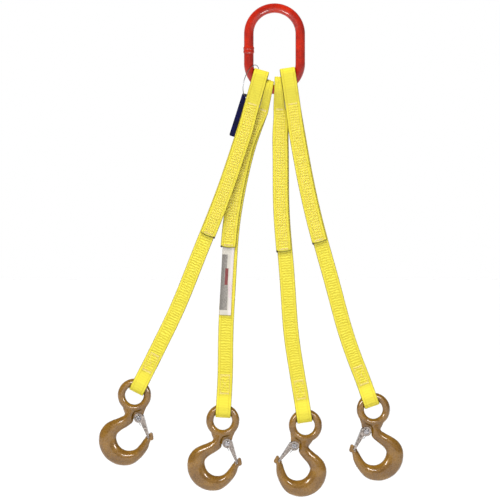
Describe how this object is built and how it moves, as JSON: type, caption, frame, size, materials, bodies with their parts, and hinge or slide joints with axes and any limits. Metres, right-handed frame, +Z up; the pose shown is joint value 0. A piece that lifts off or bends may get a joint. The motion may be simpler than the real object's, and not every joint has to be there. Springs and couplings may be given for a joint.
{
  "type": "flat web bridle sling",
  "caption": "Flat web bridle sling: an oblong master link carries flat web legs, each ending in a forged eye sling hook with a sprung latch.",
  "frame": {"origin": "inside crown of the master link, where the crane hook bears", "axes": "+Z up along the hanging sling, legs spread along X, front towards -Y"},
  "size_m": [0.5055, 0.0518, 0.8194],
  "materials": {
    "link_enamel": "gloss",
    "webbing": "woven",
    "label": "satin",
    "hook_lacquer": "gloss",
    "latch_zinc": "zinc plated",
    "bolt_zinc": "bright zinc",
    "spring_steel": "drawn wire",
    "ring_wire": "drawn wire",
    "tag_enamel": "gloss"
  },
  "bodies": {
    "master_link": {"master_link": "link_enamel", "leg_2_upper_eye": "webbing", "leg_3_upper_eye": "webbing"},
    "leg_1_upper_eye": {"leg_1_upper_eye": "webbing"},
    "leg_4_upper_eye": {"leg_4_upper_eye": "webbing"},
    "leg_1_splice": {"leg_1_splice": "webbing"},
    "leg_1_web": {"leg_1_web": "webbing"},
    "leg_1_tail": {"leg_1_tail": "webbing"},
    "leg_1_lower_eye": {"leg_1_lower_eye": "webbing"},
    "hook_1": {"hook_1": "hook_lacquer", "hook_1_latch_bolt": "bolt_zinc", "hook_1_latch_nut": "bolt_zinc"},
    "latch_1": {"hook_1_latch": "latch_zinc", "hook_1_latch_spring": "spring_steel"},
    "leg_2_splice": {"leg_2_splice": "webbing"},
    "leg_2_web": {"leg_2_web": "webbing", "leg_2_label": "label"},
    "leg_2_tail": {"leg_2_tail": "webbing"},
    "leg_2_lower_eye": {"leg_2_lower_eye": "webbing"},
    "hook_2": {"hook_2": "hook_lacquer", "hook_2_latch_bolt": "bolt_zinc", "hook_2_latch_nut": "bolt_zinc"},
    "latch_2": {"hook_2_latch": "latch_zinc", "hook_2_latch_spring": "spring_steel"},
    "leg_3_splice": {"leg_3_splice": "webbing"},
    "leg_3_web": {"leg_3_web": "webbing"},
    "leg_3_tail": {"leg_3_tail": "webbing"},
    "leg_3_lower_eye": {"leg_3_lower_eye": "webbing"},
    "hook_3": {"hook_3": "hook_lacquer", "hook_3_latch_bolt": "bolt_zinc", "hook_3_latch_nut": "bolt_zinc"},
    "latch_3": {"hook_3_latch": "latch_zinc", "hook_3_latch_spring": "spring_steel"},
    "leg_4_splice": {"leg_4_splice": "webbing"},
    "leg_4_web": {"leg_4_web": "webbing"},
    "leg_4_tail": {"leg_4_tail": "webbing"},
    "leg_4_lower_eye": {"leg_4_lower_eye": "webbing"},
    "hook_4": {"hook_4": "hook_lacquer", "hook_4_latch_bolt": "bolt_zinc", "hook_4_latch_nut": "bolt_zinc"},
    "latch_4": {"hook_4_latch": "latch_zinc", "hook_4_latch_spring": "spring_steel"},
    "wire_ring": {"wire_ring": "ring_wire"},
    "tag": {"tag": "tag_enamel"}
  },
  "joints": [
    {"name": "leg_1_spread", "type": "hinge", "parent": "master_link", "child": "leg_1_upper_eye", "pos_m": [0, 0, -0.0842], "axis": [0, 1, 0], "range_deg": [0, 20]},
    {"name": "leg_4_spread", "type": "hinge", "parent": "master_link", "child": "leg_4_upper_eye", "pos_m": [0, 0, -0.0842], "axis": [0, -1, 0], "range_deg": [0, 20]},
    {"name": "leg_1_swing", "type": "hinge", "parent": "leg_1_upper_eye", "child": "leg_1_splice", "pos_m": [-0.0364, -0.0034, -0.1497], "axis": [0.9613, 0, -0.2756], "range_deg": [-60, 0]},
    {"name": "leg_1_bend", "type": "hinge", "parent": "leg_1_splice", "child": "leg_1_web", "pos_m": [-0.11045, -0.002, -0.3675], "axis": [0.9307, 0, -0.3657], "range_deg": [-50, 50]},
    {"name": "leg_1_twist", "type": "hinge", "parent": "leg_1_web", "child": "leg_1_tail", "pos_m": [-0.17739, -0.002, -0.523], "axis": [-0.4239, 0, -0.9057], "range_deg": [-90, 90]},
    {"name": "leg_1_flex", "type": "hinge", "parent": "leg_1_tail", "child": "leg_1_lower_eye", "pos_m": [-0.21446, -0.0006, -0.5992], "axis": [0.8926, 0, -0.4509], "range_deg": [-45, 45]},
    {"name": "hook_1_tilt", "type": "hinge", "parent": "leg_1_lower_eye", "child": "hook_1", "pos_m": [-0.2325, -0.0006, -0.6349], "axis": [0, 1, 0], "range_deg": [-50, 50]},
    {"name": "latch_1_open", "type": "hinge", "parent": "hook_1", "child": "latch_1", "pos_m": [-0.22517, -0.0006, -0.67207], "axis": [0, 1, 0], "range_deg": [0, 50], "stiffness_Nm_per_rad": 0.08, "springref_deg": -34.38},
    {"name": "leg_2_swing", "type": "hinge", "parent": "master_link", "child": "leg_2_splice", "pos_m": [-0.021, 0.0034, -0.158], "axis": [0.9336, 0, -0.3584], "range_deg": [0, 60]},
    {"name": "leg_2_bend", "type": "hinge", "parent": "leg_2_splice", "child": "leg_2_web", "pos_m": [-0.06999, 0.0048, -0.3879], "axis": [-0.9956, 0, 0.0935], "range_deg": [-50, 50]},
    {"name": "leg_2_twist", "type": "hinge", "parent": "leg_2_web", "child": "leg_2_tail", "pos_m": [-0.07965, 0.0048, -0.552], "axis": [-0.0419, 0, -0.9991], "range_deg": [-90, 90]},
    {"name": "leg_2_flex", "type": "hinge", "parent": "leg_2_tail", "child": "leg_2_lower_eye", "pos_m": [-0.0837, 0.0062, -0.63767], "axis": [0.9983, 0, -0.0576], "range_deg": [-45, 45]},
    {"name": "hook_2_tilt", "type": "hinge", "parent": "leg_2_lower_eye", "child": "hook_2", "pos_m": [-0.086, 0.0062, -0.6776], "axis": [0, 1, 0], "range_deg": [-42, 50]},
    {"name": "latch_2_open", "type": "hinge", "parent": "hook_2", "child": "latch_2", "pos_m": [-0.07867, 0.0062, -0.71477], "axis": [0, 1, 0], "range_deg": [0, 50], "stiffness_Nm_per_rad": 0.08, "springref_deg": -34.38},
    {"name": "leg_3_swing", "type": "hinge", "parent": "master_link", "child": "leg_3_splice", "pos_m": [0.012, 0.0034, -0.158], "axis": [0.9981, 0, -0.061], "range_deg": [0, 60]},
    {"name": "leg_3_bend", "type": "hinge", "parent": "leg_3_splice", "child": "leg_3_web", "pos_m": [0.0154, 0.0048, -0.3939], "axis": [0.997, 0, 0.0776], "range_deg": [-50, 50]},
    {"name": "leg_3_twist", "type": "hinge", "parent": "leg_3_web", "child": "leg_3_tail", "pos_m": [0.03338, 0.0048, -0.56], "axis": [0.1317, 0, -0.9913], "range_deg": [-90, 90]},
    {"name": "leg_3_flex", "type": "hinge", "parent": "leg_3_tail", "child": "leg_3_lower_eye", "pos_m": [0.04556, 0.0062, -0.64633], "axis": [0.9893, 0, 0.1461], "range_deg": [-45, 45]},
    {"name": "hook_3_tilt", "type": "hinge", "parent": "leg_3_lower_eye", "child": "hook_3", "pos_m": [0.0514, 0.0062, -0.6859], "axis": [0, 1, 0], "range_deg": [-28, 50]},
    {"name": "latch_3_open", "type": "hinge", "parent": "hook_3", "child": "latch_3", "pos_m": [0.03295, 0.0062, -0.71899], "axis": [0, -1, 0], "range_deg": [0, 50], "stiffness_Nm_per_rad": 0.08, "springref_deg": -34.38},
    {"name": "leg_4_swing", "type": "hinge", "parent": "leg_4_upper_eye", "child": "leg_4_splice", "pos_m": [0.0296, -0.0034, -0.1491], "axis": [0.9888, 0, 0.1495], "range_deg": [-60, 0]},
    {"name": "leg_4_bend", "type": "hinge", "parent": "leg_4_splice", "child": "leg_4_web", "pos_m": [0.07688, -0.002, -0.3788], "axis": [0.9684, 0, 0.2493], "range_deg": [-50, 50]},
    {"name": "leg_4_twist", "type": "hinge", "parent": "leg_4_web", "child": "leg_4_tail", "pos_m": [0.12365, -0.002, -0.54], "axis": [0.306, 0, -0.952], "range_deg": [-90, 90]},
    {"name": "leg_4_flex", "type": "hinge", "parent": "leg_4_tail", "child": "leg_4_lower_eye", "pos_m": [0.15078, -0.0006, -0.62075], "axis": [0.9438, 0, 0.3305], "range_deg": [-45, 45]},
    {"name": "hook_4_tilt", "type": "hinge", "parent": "leg_4_lower_eye", "child": "hook_4", "pos_m": [0.164, -0.0006, -0.6585], "axis": [0, 1, 0], "range_deg": [-50, 45]},
    {"name": "latch_4_open", "type": "hinge", "parent": "hook_4", "child": "latch_4", "pos_m": [0.1522, -0.0006, -0.6945], "axis": [0, -1, 0], "range_deg": [0, 50], "stiffness_Nm_per_rad": 0.08, "springref_deg": -34.38},
    {"name": "wire_ring_swing", "type": "hinge", "parent": "leg_1_upper_eye", "child": "wire_ring", "pos_m": [-0.03776, 0, -0.10457], "axis": [0.8701, -0.3874, -0.3046], "range_deg": [0, 30]},
    {"name": "tag_swing", "type": "hinge", "parent": "wire_ring", "child": "tag", "pos_m": [-0.0452, 0.0102, -0.1388], "axis": [0.4347, 0.8945, 0.1041], "range_deg": [0, 40]}
  ]
}
